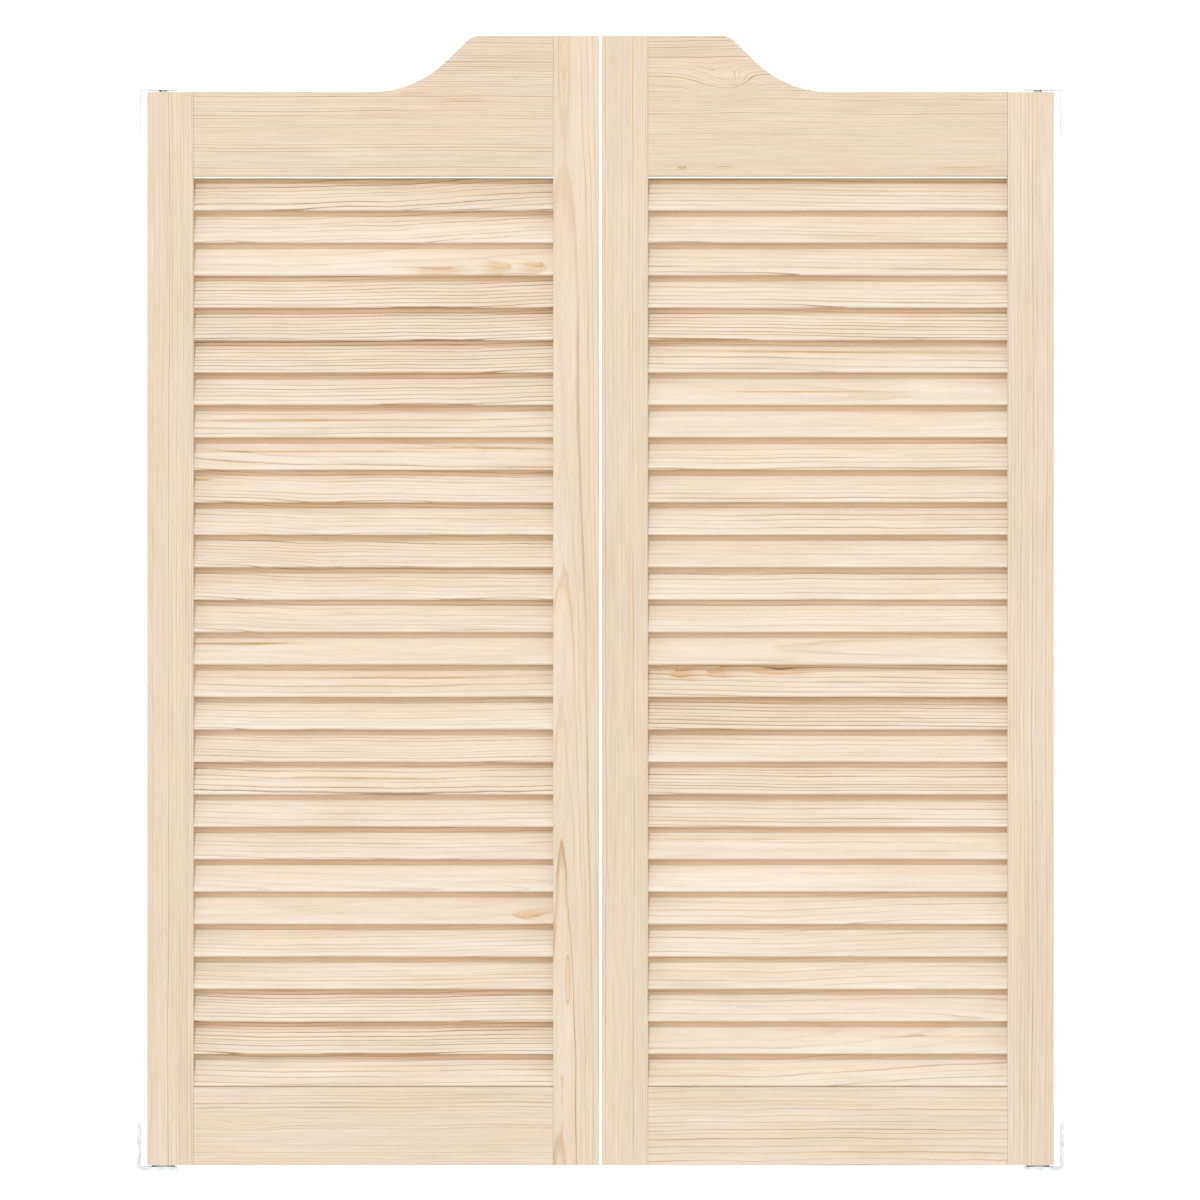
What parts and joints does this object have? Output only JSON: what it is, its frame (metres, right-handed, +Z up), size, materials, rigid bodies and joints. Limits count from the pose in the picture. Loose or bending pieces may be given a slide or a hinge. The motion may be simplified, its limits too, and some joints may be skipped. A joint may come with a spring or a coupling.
{
  "type": "cafe swinging doors",
  "caption": "Pair of louvred pine cafe doors with scrolled tops, each leaf swinging both ways on a concealed spring pivot between jamb brackets.",
  "frame": {"origin": "middle of the pair on the meeting line and the doors' mid-thickness, level with the undersides of the bottom brackets", "axes": "+X to the right along the doorway, +Y through the doorway away from the front, +Z up"},
  "size_m": [0.8754, 0.0286, 1.0713],
  "materials": {
    "stile_pine": "sanded, unfinished",
    "rail_pine": "sanded, unfinished",
    "slat_pine": "sanded, unfinished",
    "dowel_beech": "turned",
    "zinc_plate": "zinc plated",
    "bright_steel": "turned",
    "spring_steel": "oiled",
    "nylon": "moulded"
  },
  "bodies": {
    "jamb_hardware": {"left_bottom_bracket": "zinc_plate", "left_spindle": "bright_steel", "left_thrust_washer": "nylon", "left_top_bracket": "zinc_plate", "right_bottom_bracket": "zinc_plate", "right_spindle": "bright_steel", "right_thrust_washer": "nylon", "right_top_bracket": "zinc_plate"},
    "left_leaf": {"left_hinge_stile": "stile_pine", "left_meeting_stile": "stile_pine", "left_top_rail": "rail_pine", "left_bottom_rail": "rail_pine", "left_rail_dowels": "dowel_beech", "left_spring_barrel": "zinc_plate", "left_barrel_cap": "zinc_plate", "left_centring_spring": "spring_steel", "left_barrel_screws": "bright_steel", "left_top_sleeve": "nylon", "left_pin_spring": "spring_steel", "left_slats_01_02": "slat_pine", "left_slats_03_04": "slat_pine", "left_slats_05_06": "slat_pine", "left_slats_07_08": "slat_pine", "left_slats_09_10": "slat_pine", "left_slats_11_12": "slat_pine", "left_slats_13_14": "slat_pine", "left_slats_15_16": "slat_pine", "left_slats_17_18": "slat_pine", "left_slats_19_20": "slat_pine", "left_slats_21_22": "slat_pine", "left_slats_23_24": "slat_pine", "left_slats_25_26": "slat_pine", "left_slats_27_28": "slat_pine"},
    "left_top_pin": {"left_top_pin": "bright_steel"},
    "right_leaf": {"right_hinge_stile": "stile_pine", "right_meeting_stile": "stile_pine", "right_top_rail": "rail_pine", "right_bottom_rail": "rail_pine", "right_rail_dowels": "dowel_beech", "right_spring_barrel": "zinc_plate", "right_barrel_cap": "zinc_plate", "right_centring_spring": "spring_steel", "right_barrel_screws": "bright_steel", "right_top_sleeve": "nylon", "right_pin_spring": "spring_steel", "right_slats_01_02": "slat_pine", "right_slats_03_04": "slat_pine", "right_slats_05_06": "slat_pine", "right_slats_07_08": "slat_pine", "right_slats_09_10": "slat_pine", "right_slats_11_12": "slat_pine", "right_slats_13_14": "slat_pine", "right_slats_15_16": "slat_pine", "right_slats_17_18": "slat_pine", "right_slats_19_20": "slat_pine", "right_slats_21_22": "slat_pine", "right_slats_23_24": "slat_pine", "right_slats_25_26": "slat_pine", "right_slats_27_28": "slat_pine"},
    "right_top_pin": {"right_top_pin": "bright_steel"}
  },
  "joints": [
    {"name": "left_swing", "type": "hinge", "parent": "jamb_hardware", "child": "left_leaf", "pos_m": [-0.41305, 0, 0], "axis": [0, 0, 1], "range_deg": [-90, 90], "stiffness_Nm_per_rad": 0.35, "deforming": ["left_centring_spring"]},
    {"name": "left_pin_press", "type": "slide", "parent": "left_leaf", "child": "left_top_pin", "axis": [0, 0, 1], "range_m": [-0.008, 0], "stiffness_N_per_m": 600, "springref_m": 0.012, "deforming": ["left_pin_spring"]},
    {"name": "right_swing", "type": "hinge", "parent": "jamb_hardware", "child": "right_leaf", "pos_m": [0.41305, 0, 0], "axis": [0, 0, 1], "range_deg": [-90, 90], "stiffness_Nm_per_rad": 0.35, "deforming": ["right_centring_spring"]},
    {"name": "right_pin_press", "type": "slide", "parent": "right_leaf", "child": "right_top_pin", "axis": [0, 0, 1], "range_m": [-0.008, 0], "stiffness_N_per_m": 600, "springref_m": 0.012, "deforming": ["right_pin_spring"]}
  ]
}
